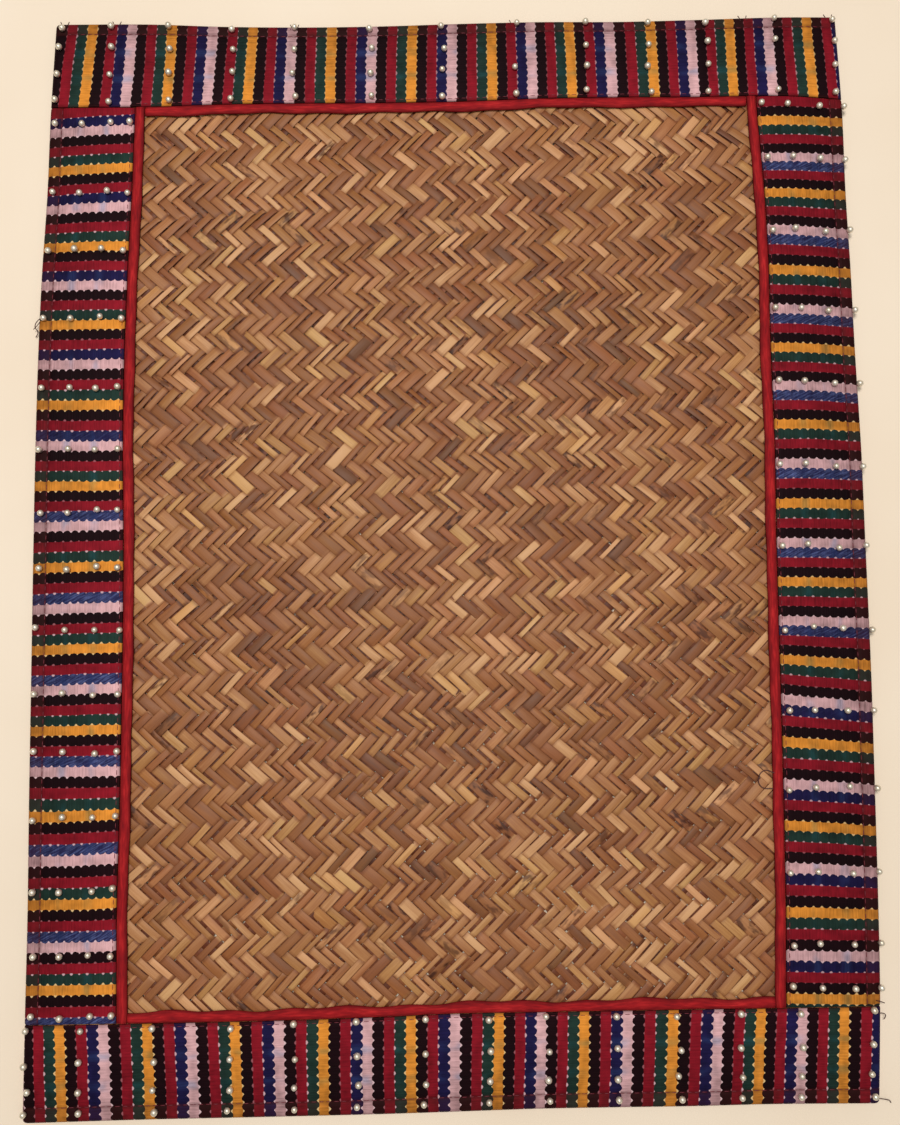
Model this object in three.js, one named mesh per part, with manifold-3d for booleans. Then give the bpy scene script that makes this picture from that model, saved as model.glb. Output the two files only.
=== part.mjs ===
// A hand-made placemat: a panel of woven cane edged with striped cloth and a thin red trim.
// Millimetres, +Z up. The mat lies flat, its hems on z = 0 and its middle over the origin.

import * as THREE from 'three';
import { mergeVertices } from 'three/addons/utils/BufferGeometryUtils.js';
import Module from 'manifold-3d';

const wasm = await Module();
wasm.setup();

// The mat as if it were a true rectangle: x across, y up its length
const matWidth = 330;
const matLength = 436;

// What lies on what, from the surface up: cloth, a little air, cane, a little air, cloth
const clothThickness = 1.0;
const caneThickness = 1.2;
const restGap = 0.3;
const caneBottom = clothThickness + restGap;
const caneTop = caneBottom + caneThickness;
const clothBottom = caneTop + restGap;
const matThickness = clothBottom + clothThickness;

// The cloth goes round the panel's edge in a half round and is turned under as a hem
const foldRadius = matThickness / 2;
const caneInset = 3;
const pocketInset = caneInset - restGap;
const hemWidth = 7;

// The front of each band, from its outer fold to its inner seam
const bandWidths = { left: 34.8, right: 34.8, top: 34.2, bottom: 35.3 };
const hemStitchAt = 4.3;
const hemStitchDepth = 0.35;
const seamStitchFromEdge = 1.2;
const seamStitchDepth = 0.2;
const stitchDimple = 1.5;
const bandCrown = 0.2;
const turnedEdgeRadius = 0.35;

// The red trim along the inner seams
const trimWidth = 3.9;
const trimThickness = 1.0;
const trimRadius = 0.4;
const trimWaver = { left: 0.12, right: 0.12, top: 0.22, bottom: 0.38 };
const waverLengths = [61, 23];

// How finely the long pieces are stepped
const stepLength = 12;
const foldSegments = 3;

// Each edge's unevenness: `edge` is how far the outer fold stands outside the true rectangle, and `seam` how far
// the band's inner edge does, both in millimetres outwards, at points along the side
const unevenness = {
  left: [
    { at: -218, edge: -0.3, seam: -0.5 },
    { at: -180, edge: -0.2, seam: -0.5 },
    { at: -141, edge: -0.2, seam: 0.0 },
    { at: -100, edge: 0.3, seam: -0.4 },
    { at: -49, edge: 0.7, seam: -0.5 },
    { at: 0, edge: 1.1, seam: -0.2 },
    { at: 40, edge: 1.3, seam: 0.8 },
    { at: 80, edge: 1.1, seam: 0.8 },
    { at: 113, edge: 0.4, seam: 0.1 },
    { at: 147, edge: -1.0, seam: -1.0 },
    { at: 181, edge: -1.6, seam: -1.8 },
    { at: 218, edge: -3.1, seam: -1.9 },
  ],
  right: [
    { at: -218, edge: -3.6, seam: -3.3 },
    { at: -180, edge: -1.4, seam: -3.2 },
    { at: -145, edge: -0.4, seam: -2.0 },
    { at: -100, edge: 0.4, seam: -1.1 },
    { at: -53, edge: 1.1, seam: -0.6 },
    { at: 0, edge: 1.2, seam: 0.0 },
    { at: 35, edge: 1.3, seam: 0.8 },
    { at: 77, edge: 0.6, seam: 0.7 },
    { at: 110, edge: 0.4, seam: 1.2 },
    { at: 144, edge: -0.2, seam: 0.6 },
    { at: 179, edge: -0.1, seam: -1.2 },
    { at: 218, edge: -1.4, seam: -1.2 },
  ],
  top: [
    { at: -165, edge: 0.3, seam: -2.1 },
    { at: -125, edge: 0.2, seam: -2.0 },
    { at: -94, edge: -1.0, seam: -1.1 },
    { at: -60, edge: -1.5, seam: -0.9 },
    { at: -27, edge: -1.2, seam: -0.9 },
    { at: 6, edge: -0.3, seam: -0.5 },
    { at: 40, edge: 0.3, seam: 0.6 },
    { at: 73, edge: 0.2, seam: 0.9 },
    { at: 107, edge: 0.9, seam: 0.9 },
    { at: 140, edge: 1.8, seam: 1.1 },
    { at: 165, edge: 1.7, seam: -0.5 },
  ],
  bottom: [
    { at: -165, edge: 1.8, seam: 1.1 },
    { at: -120, edge: 1.1, seam: 0.9 },
    { at: -75, edge: 0.8, seam: 0.6 },
    { at: -29, edge: 0.4, seam: -0.2 },
    { at: 1, edge: -0.1, seam: -1.1 },
    { at: 32, edge: -0.7, seam: -1.2 },
    { at: 62, edge: -0.8, seam: -1.3 },
    { at: 93, edge: -0.8, seam: -1.4 },
    { at: 123, edge: -1.1, seam: -1.4 },
    { at: 165, edge: -0.8, seam: -1.5 },
  ],
};

// The way into the mat from each side, and how far the side lies from the middle
const sides = {
  left: { inward: new THREE.Vector2(1, 0), reach: matWidth / 2 },
  right: { inward: new THREE.Vector2(-1, 0), reach: matWidth / 2 },
  top: { inward: new THREE.Vector2(0, -1), reach: matLength / 2 },
  bottom: { inward: new THREE.Vector2(0, 1), reach: matLength / 2 },
};
const seamX = { left: bandWidths.left - matWidth / 2, right: matWidth / 2 - bandWidths.right };
const seamY = { bottom: bandWidths.bottom - matLength / 2, top: matLength / 2 - bandWidths.top };

// A smooth curve through one column of a side's table
function readUnevenness(rows, at, column) {
  const last = rows.length - 1;
  if (at <= rows[0].at) return rows[0][column];
  if (at >= rows[last].at) return rows[last][column];
  const k = rows.findIndex((row) => row.at > at) - 1;
  const slope = (i) => {
    const before = rows[Math.max(i - 1, 0)];
    const after = rows[Math.min(i + 1, last)];
    return (after[column] - before[column]) / (after.at - before.at);
  };
  const run = rows[k + 1].at - rows[k].at;
  const u = (at - rows[k].at) / run;
  const startWeight = 1 - u * u * (3 - 2 * u);
  const value = rows[k][column] * startWeight + rows[k + 1][column] * (1 - startWeight);
  return value + run * u * (1 - u) * (slope(k) * (1 - u) - slope(k + 1) * u);
}

// The shift at a place between the low outer edge, the two seams and the high outer edge
function shiftBetween(place, stops, shifts) {
  if (place <= stops[0]) return shifts[0];
  const k = stops.findIndex((stop) => stop >= place);
  if (k < 0) return shifts[shifts.length - 1];
  const u = (place - stops[k - 1]) / (stops[k] - stops[k - 1]);
  return shifts[k - 1] + u * (shifts[k] - shifts[k - 1]);
}

// Moves a point of the true rectangle to where it lies on the uneven mat
function uneven(x, y) {
  const shiftX = shiftBetween(
    x,
    [-matWidth / 2, seamX.left, seamX.right, matWidth / 2],
    [
      -readUnevenness(unevenness.left, y, 'edge'),
      -readUnevenness(unevenness.left, y, 'seam'),
      readUnevenness(unevenness.right, y, 'seam'),
      readUnevenness(unevenness.right, y, 'edge'),
    ],
  );
  const shiftY = shiftBetween(
    y,
    [-matLength / 2, seamY.bottom, seamY.top, matLength / 2],
    [
      -readUnevenness(unevenness.bottom, x, 'edge'),
      -readUnevenness(unevenness.bottom, x, 'seam'),
      readUnevenness(unevenness.top, x, 'seam'),
      readUnevenness(unevenness.top, x, 'edge'),
    ],
  );
  return new THREE.Vector2(x + shiftX, y + shiftY);
}

// A point of a side piece: `across` counts inwards from the outer fold, `along` runs so that z stays up
function placeOnSide(side, across, along) {
  const { inward, reach } = sides[side];
  const x = inward.x * (across - reach) + inward.y * along;
  const y = inward.y * (across - reach) - inward.x * along;
  return uneven(x, y);
}

// The mat's outline, drawn in by an inset, with a point about every step
function outline(inset) {
  const halfX = matWidth / 2 - inset;
  const halfY = matLength / 2 - inset;
  const corners = [[-halfX, -halfY], [halfX, -halfY], [halfX, halfY], [-halfX, halfY]];
  const points = [];
  corners.forEach(([x0, y0], k) => {
    const [x1, y1] = corners[(k + 1) % corners.length];
    const count = Math.round(Math.hypot(x1 - x0, y1 - y0) / stepLength);
    for (let i = 0; i < count; i += 1) {
      const u = i / count;
      points.push(uneven(x0 + u * (x1 - x0), y0 + u * (y1 - y0)));
    }
  });
  return new THREE.Shape(points);
}

// A flat layer with the mat's outline
function layer(inset, bottom, top) {
  const geometry = new THREE.ExtrudeGeometry(outline(inset), { depth: top - bottom, bevelEnabled: false });
  return geometry.translate(0, 0, bottom);
}

// Where the sections of a long piece stand, with close ones at its ends where those are rounded
function stations(low, high, rounded) {
  const ends = rounded ? [0, 0.5, 1.2, foldRadius, hemStitchAt] : [0];
  const first = ends[ends.length - 1];
  const middleLength = high - low - 2 * first;
  const count = Math.round(middleLength / stepLength);
  const middle = Array.from({ length: count - 1 }, (_, i) => low + first + ((i + 1) * middleLength) / count);
  return [...ends.map((d) => low + d), ...middle, ...ends.map((d) => high - d).reverse()];
}

// How much of the full thickness is left at a distance from a rounded end
function endFullness(distance) {
  const blunt = 0.3;
  if (distance >= foldRadius) return 1;
  return Math.max(blunt, Math.sqrt(1 - (1 - distance / foldRadius) ** 2));
}

// A section drawn across a side, carried along it and bent to the mat's unevenness
function longPiece(side, section, low, high, { rounded = false, waver = 0 } = {}) {
  const stops = stations(low, high, rounded);
  const steps = stops.length - 1;
  const geometry = new THREE.ExtrudeGeometry(section, {
    depth: 1,
    steps,
    curveSegments: foldSegments,
    bevelEnabled: false,
  });
  const position = geometry.attributes.position;
  for (let i = 0; i < position.count; i += 1) {
    const along = stops[Math.round(position.getZ(i) * steps)];
    const fullness = rounded ? endFullness(Math.min(along - low, high - along)) : 1;
    const height = foldRadius + (position.getY(i) - foldRadius) * fullness;
    const sway = waverLengths.reduce((sum, length) => sum + Math.sin((2 * Math.PI * along) / length), 0);
    const middle = bandWidths[side] + trimWidth / 2;
    const across = position.getX(i) + (position.getX(i) > middle ? waver * sway : 0);
    const point = placeOnSide(side, across, along);
    position.setXYZ(i, point.x, point.y, height);
  }
  return geometry;
}

// The height of a band's top at a distance from its outer fold: crowned, and drawn in at its two rows of stitches
function bandTop(across, width) {
  const seamStitchAt = width - seamStitchFromEdge;
  const dip = (at, depth) => depth * Math.max(0, 1 - Math.abs(across - at) / stitchDimple);
  const u = (across - hemStitchAt) / (seamStitchAt - hemStitchAt);
  const crown = bandCrown * Math.sin(Math.PI * THREE.MathUtils.clamp(u, 0, 1));
  return matThickness + crown - dip(hemStitchAt, hemStitchDepth) - dip(seamStitchAt, seamStitchDepth);
}

// A band's section before the cane's pocket is cut: half round at the outer fold, a soft turned edge at the seam
function bandSection(width) {
  const seamStitchAt = width - seamStitchFromEdge;
  const section = new THREE.Shape();
  section.moveTo(width, 0);
  section.lineTo(width, matThickness - turnedEdgeRadius);
  const crownAt = [0.75, 0.5, 0.25].map((u) => hemStitchAt + u * (seamStitchAt - hemStitchAt));
  const topAt = [
    width - turnedEdgeRadius,
    seamStitchAt,
    seamStitchAt - stitchDimple,
    ...crownAt,
    hemStitchAt + stitchDimple,
    hemStitchAt,
    hemStitchAt - stitchDimple,
  ];
  topAt.forEach((across) => section.lineTo(across, bandTop(across, width)));
  section.absarc(foldRadius, foldRadius, foldRadius, Math.PI / 2, (3 * Math.PI) / 2, false);
  return section;
}

// The trim's section, a flat strip with soft upper edges, lying just inside a band's seam
function trimSection(bandWidth) {
  const outer = bandWidth + restGap;
  const inner = outer + trimWidth;
  const top = clothBottom + trimThickness;
  const section = new THREE.Shape();
  section.moveTo(outer, clothBottom);
  section.lineTo(inner, clothBottom);
  section.lineTo(inner, top - trimRadius);
  section.lineTo(inner - trimRadius, top);
  section.lineTo(outer + trimRadius, top);
  section.lineTo(outer, top - trimRadius);
  section.closePath();
  return section;
}

// Closed meshes and solids, both ways
function toSolid(geometry) {
  const bare = geometry.clone();
  bare.deleteAttribute('normal');
  bare.deleteAttribute('uv');
  const merged = mergeVertices(bare, 1e-4);
  return new wasm.Manifold(new wasm.Mesh({
    numProp: 3,
    vertProperties: new Float32Array(merged.attributes.position.array),
    triVerts: new Uint32Array(merged.index.array),
  }));
}

function toGeometry(solid) {
  const { vertProperties, triVerts } = solid.getMesh();
  const geometry = new THREE.BufferGeometry();
  geometry.setAttribute('position', new THREE.BufferAttribute(new Float32Array(vertProperties), 3));
  geometry.setIndex(new THREE.BufferAttribute(new Uint32Array(triVerts), 1));
  geometry.computeVertexNormals();
  return geometry;
}

const placemat = new THREE.Group();

function addPiece(name, geometry, look) {
  const mesh = new THREE.Mesh(geometry, new THREE.MeshStandardMaterial({ metalness: 0, ...look }));
  mesh.name = name;
  placemat.add(mesh);
}

// The woven panel, reaching under the bands almost to their outer folds
addPiece('cane_panel', layer(caneInset, caneBottom, caneTop), { color: 0xb98357, roughness: 0.6 });

// The room that the folded bands leave for the panel, and the open back between their hems
const belowMat = -1;
const pocket = toSolid(layer(pocketInset, clothThickness, clothBottom));
const openBack = toSolid(layer(hemWidth, belowMat, caneBottom));
const inside = pocket.add(openBack);

// The four bands: top and bottom run the full width, and the side bands fill in between
const fullWidth = [-matWidth / 2, matWidth / 2];
const betweenBands = [seamY.bottom + restGap, seamY.top - restGap];
for (const side of ['top', 'bottom', 'left', 'right']) {
  const upright = side === 'left' || side === 'right';
  const [low, high] = upright ? betweenBands : fullWidth;
  const turned = side === 'left' || side === 'top';
  const span = turned ? [-high, -low] : [low, high];
  const blank = longPiece(side, bandSection(bandWidths[side]), ...span, { rounded: !upright });
  const folded = toSolid(blank).subtract(inside);
  addPiece(`band_${side}`, toGeometry(folded), { color: 0x8f1428, roughness: 0.85 });
}

// The four trims: the upright ones run the whole height of the window
const betweenTrims = [
  seamX.left + restGap + trimWidth + restGap,
  seamX.right - restGap - trimWidth - restGap,
];
for (const side of ['top', 'bottom', 'left', 'right']) {
  const upright = side === 'left' || side === 'right';
  const [low, high] = upright ? betweenBands : betweenTrims;
  const turned = side === 'left' || side === 'top';
  const span = turned ? [-high, -low] : [low, high];
  const strip = longPiece(side, trimSection(bandWidths[side]), ...span, { waver: trimWaver[side] });
  addPiece(`trim_${side}`, strip, { color: 0xb3121c, roughness: 0.8 });
}

export default placemat;
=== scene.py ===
import math
import random
from functools import partial

import bmesh
import bpy
import numpy as np
from mathutils import Euler, Matrix, Vector


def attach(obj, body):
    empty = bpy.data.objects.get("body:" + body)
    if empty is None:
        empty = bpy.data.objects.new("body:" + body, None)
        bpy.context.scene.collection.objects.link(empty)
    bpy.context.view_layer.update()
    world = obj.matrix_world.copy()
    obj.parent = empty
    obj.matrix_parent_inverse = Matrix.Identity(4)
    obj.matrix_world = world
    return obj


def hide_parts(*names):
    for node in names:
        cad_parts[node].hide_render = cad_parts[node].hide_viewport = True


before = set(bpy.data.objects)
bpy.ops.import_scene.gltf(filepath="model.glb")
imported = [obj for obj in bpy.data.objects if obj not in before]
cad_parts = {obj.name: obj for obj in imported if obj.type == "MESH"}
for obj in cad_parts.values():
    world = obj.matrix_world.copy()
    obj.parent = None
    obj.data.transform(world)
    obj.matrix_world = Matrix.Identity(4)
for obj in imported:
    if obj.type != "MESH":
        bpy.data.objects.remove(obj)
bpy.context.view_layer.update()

# A placemat of woven split cane, edged with folded bands of striped handloom cloth and narrow red trims.
# Sizes in the dictionaries are millimetres; meshes are metres. x runs across the mat and y up its length.
mm = 0.001

mat = {
    "width": 330.0,
    "length": 436.0,
    "top": 3.8,  # height of the folded cloth's upper face
    "foldRadius": 1.9,  # the cloth goes round the edge in a half round
    "hem": 7.0,
    "bands": {"left": 34.8, "right": 34.8, "top": 34.2, "bottom": 35.3},
    "restGap": 0.3,
    "hemStitchAt": {"left": 5.3, "right": 5.4, "top": 4.8, "bottom": 5.6},  # inwards from the outer fold
    "seamStitchAt": 1.2,  # outwards from the inner seam
}
halfWidth = mat["width"] / 2
halfLength = mat["length"] / 2
seamX = (mat["bands"]["left"] - halfWidth, halfWidth - mat["bands"]["right"])
seamY = (mat["bands"]["bottom"] - halfLength, halfLength - mat["bands"]["top"])

# Each side's unevenness: place along the side, then how far outwards its outer fold and its inner seam stand
unevenness = {
    "left": {
        "at": (-218, -180, -141, -100, -49, 0, 40, 80, 113, 147, 181, 218),
        "edge": (-0.3, -0.2, -0.2, 0.3, 0.7, 1.1, 1.3, 1.1, 0.4, -1.0, -1.6, -3.1),
        "seam": (-0.5, -0.5, 0.0, -0.4, -0.5, -0.2, 0.8, 0.8, 0.1, -1.0, -1.8, -1.9),
    },
    "right": {
        "at": (-218, -180, -145, -100, -53, 0, 35, 77, 110, 144, 179, 218),
        "edge": (-3.6, -1.4, -0.4, 0.4, 1.1, 1.2, 1.3, 0.6, 0.4, -0.2, -0.1, -1.4),
        "seam": (-3.3, -3.2, -2.0, -1.1, -0.6, 0.0, 0.8, 0.7, 1.2, 0.6, -1.2, -1.2),
    },
    "top": {
        "at": (-165, -125, -94, -60, -27, 6, 40, 73, 107, 140, 165),
        "edge": (0.3, 0.2, -1.0, -1.5, -1.2, -0.3, 0.3, 0.2, 0.9, 1.8, 1.7),
        "seam": (-2.1, -2.0, -1.1, -0.9, -0.9, -0.5, 0.6, 0.9, 0.9, 1.1, -0.5),
    },
    "bottom": {
        "at": (-165, -120, -75, -29, 1, 32, 62, 93, 123, 165),
        "edge": (1.8, 1.1, 0.8, 0.4, -0.1, -0.7, -0.8, -0.8, -1.1, -0.8),
        "seam": (1.1, 0.9, 0.6, -0.2, -1.1, -1.2, -1.3, -1.4, -1.4, -1.5),
    },
}


def curveThrough(table, row, at):
    # a smooth curve through one row of a table, level past its ends
    stops = np.array(table["at"], dtype=float)
    values = np.array(table[row], dtype=float)
    order = np.arange(len(stops))
    before = np.maximum(order - 1, 0)
    after = np.minimum(order + 1, len(stops) - 1)
    slope = (values[after] - values[before]) / (stops[after] - stops[before])
    at = np.clip(at, stops[0], stops[-1])
    k = np.clip(np.searchsorted(stops, at, side="right") - 1, 0, len(stops) - 2)
    run = stops[k + 1] - stops[k]
    u = (at - stops[k]) / run
    startWeight = 1 - u * u * (3 - 2 * u)
    value = values[k] * startWeight + values[k + 1] * (1 - startWeight)
    return value + run * u * (1 - u) * (slope[k] * (1 - u) - slope[k + 1] * u)


def shiftBetween(place, stops, shifts):
    # between the low outer edge, the two seams and the high outer edge
    result = np.where(place <= stops[0], shifts[0], shifts[-1])
    for k in range(len(stops) - 1):
        u = (place - stops[k]) / (stops[k + 1] - stops[k])
        inside = (place > stops[k]) & (place <= stops[k + 1])
        result = np.where(inside, shifts[k] + u * (shifts[k + 1] - shifts[k]), result)
    return result


def uneven(x, y):
    # moves points of the true rectangle to where they lie on the hand-sewn mat
    shiftsX = (
        -curveThrough(unevenness["left"], "edge", y),
        -curveThrough(unevenness["left"], "seam", y),
        curveThrough(unevenness["right"], "seam", y),
        curveThrough(unevenness["right"], "edge", y),
    )
    shiftsY = (
        -curveThrough(unevenness["bottom"], "edge", x),
        -curveThrough(unevenness["bottom"], "seam", x),
        curveThrough(unevenness["top"], "seam", x),
        curveThrough(unevenness["top"], "edge", x),
    )
    movedX = x + shiftBetween(x, (-halfWidth, *seamX, halfWidth), shiftsX)
    movedY = y + shiftBetween(y, (-halfLength, *seamY, halfLength), shiftsY)
    return movedX, movedY


def onSide(side, along, across):
    # a place counted inwards from a side's outer fold; along is x on top and bottom, y on left and right
    return {
        "left": (across - halfWidth, along),
        "right": (halfWidth - across, along),
        "top": (along, halfLength - across),
        "bottom": (along, across - halfLength),
    }[side]


# Nodes and materials
def linear(hexColour):
    channels = [int(hexColour[k : k + 2], 16) / 255 for k in (1, 3, 5)]
    return (*[c / 12.92 if c <= 0.04045 else ((c + 0.055) / 1.055) ** 2.4 for c in channels], 1.0)


def addNode(tree, kind, settings=None, links=None):
    # Settings may be an operation's name alone, and links a list, for the first inputs in their order. A link
    # is a value, a node (its first output) or a pair of a node and an output's name.
    node = tree.nodes.new("ShaderNode" + kind)
    if isinstance(settings, str):
        settings = {"operation": settings}
    if isinstance(links, list):
        links = dict(enumerate(links))
    for name, value in (settings or {}).items():
        if name == "stops":
            ramp = node.color_ramp
            while len(ramp.elements) < len(value):
                ramp.elements.new(0.5)
            for element, (place, colour) in zip(ramp.elements, value):
                element.position = place
                element.color = linear(colour)
        elif name == "between":
            node.color_ramp.interpolation = value
        else:
            setattr(node, name, value)
    for socket, value in (links or {}).items():
        if isinstance(value, tuple) and isinstance(value[0], bpy.types.Node):
            tree.links.new(value[0].outputs[value[1]], node.inputs[socket])
        elif isinstance(value, bpy.types.Node):
            tree.links.new(value.outputs[0], node.inputs[socket])
        else:
            node.inputs[socket].default_value = value
    return node


def newMaterial(name):
    # an empty material, and what adds a node to it
    material = bpy.data.materials.new(name)
    material.use_nodes = True
    material.node_tree.nodes.clear()
    return material, partial(addNode, material.node_tree)


def finished(material, add, surface):
    # the same material, ended with the shader of its surface
    add("OutputMaterial", {}, {"Surface": add("BsdfPrincipled", {}, surface)})
    return material


def splitCane():
    # split cane, scraped flat and left bare: satin tan with long grain, every strip its own tone
    material, add = newMaterial("splitCane")
    grainWidth = 0.55  # finer in the real cane, drawn as coarse as shows
    strip = add("UVMap", {"uv_map": "strip"})  # u along and v across, both in millimetres
    names = ("ownTone", "stain", "edge", "hue")
    own, stain, edge, hue = [(add("Attribute", {"attribute_name": name}), "Fac") for name in names]
    place = add("TexCoord")
    drawnOut = []  # cloudy noises of a length and a width in millimetres
    for length, width, detail in ((9, grainWidth, 3), (34, 3.5, 1), (5, 2.2, 2)):
        space = add("Mapping", {}, {0: strip, "Scale": (1 / length, 1 / width, 1)})
        drawnOut.append(add("TexNoise", {}, {"Vector": space, "Scale": 1.0, "Detail": detail}))
    streak, slow, spot = drawnOut
    spot = add("MapRange", {}, [spot, 0.44, 0.6])
    wide = add("TexNoise", {}, {"Vector": (place, "Object"), "Scale": 1 / (55 * mm), "Detail": 2.0})
    tone = add("Math", "MULTIPLY_ADD", [slow, 0.5, own])
    tone = add("Math", "MULTIPLY_ADD", [streak, 0.4, tone])
    tone = add("Math", "MULTIPLY_ADD", [wide, 0.5, tone])
    tone = add("Math", "SUBTRACT", [tone, 0.11])
    stops = [(0.0, "#70472f"), (0.25, "#86512d"), (0.5, "#9a6138"), (0.75, "#b37d4f"), (1.0, "#d4a272")]
    bare = add("ValToRGB", {"stops": stops}, [tone])
    # some strips lean to pink, others to olive or orange
    stops = [(0.0, "#fff3f2"), (0.35, "#ffffff"), (0.65, "#ffffff"), (0.85, "#faffea"), (1.0, "#fff6e0")]
    tint = add("ValToRGB", {"stops": stops}, [hue])
    bare = add("MixRGB", {"blend_type": "MULTIPLY"}, [1.0, bare, tint])
    stain = add("Math", "MULTIPLY", [stain, spot])
    stained = add("MixRGB", {"blend_type": "MULTIPLY"}, [stain, bare, linear("#7d6450")])
    # painted shade along the strips' edges and at the crossings, with dust beneath the others
    unevenTone = add("MixRGB", {"blend_type": "MULTIPLY"}, [edge, stained, linear("#9a6a48")])
    gloss = add("MapRange", {}, [streak, 0, 1, 0.42, 0.66])
    relief = add("Bump", {}, {"Strength": 0.5, "Distance": 0.1 * mm, "Height": streak})
    surface = {"Base Color": unevenTone, "Roughness": gloss, "Specular IOR Level": 0.34, "Normal": relief}
    return finished(material, add, surface)


# The woven panel
cane = {
    "rising": (2.52, 2.52),  # one crossing further along a rising strip
    "falling": (2.56, -2.29),
    "firstCrossing": (-129.9, 115.6),
    "float": 3,  # over three, under three
    "thickness": 0.48,
    "middle": 1.9,
    "swing": 0.33,
    "halfSize": (halfWidth - 3, halfLength - 3),
    "middleAt": (50, -1),  # the crossing nearest the panel's middle, by rising and falling strip
    "reach": 84,  # strips either side of the panel's middle, enough for its corners
    "rollArm": 1.75,  # half a strip's width
    "fill": (0.8, 0.98),  # of the room that a strip has, where it shows
    "toneSpread": (0.15, 0.2),  # from strip to strip and from float to float
    "stained": 0.07,  # share of the floats
    "seeds": (11, 21, 22),  # for the widths, the rising strips and the falling ones
}


def stripEdges(chance, count):
    # where each strip starts, in strips; the widths differ but even out over every six
    widths = chance.uniform(0.7, 1.3, count)
    for k in range(0, count, 6):
        widths[k : k + 6] *= 1 / np.mean(widths[k : k + 6])
    return np.concatenate([[0.0], np.cumsum(widths)])


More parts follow.
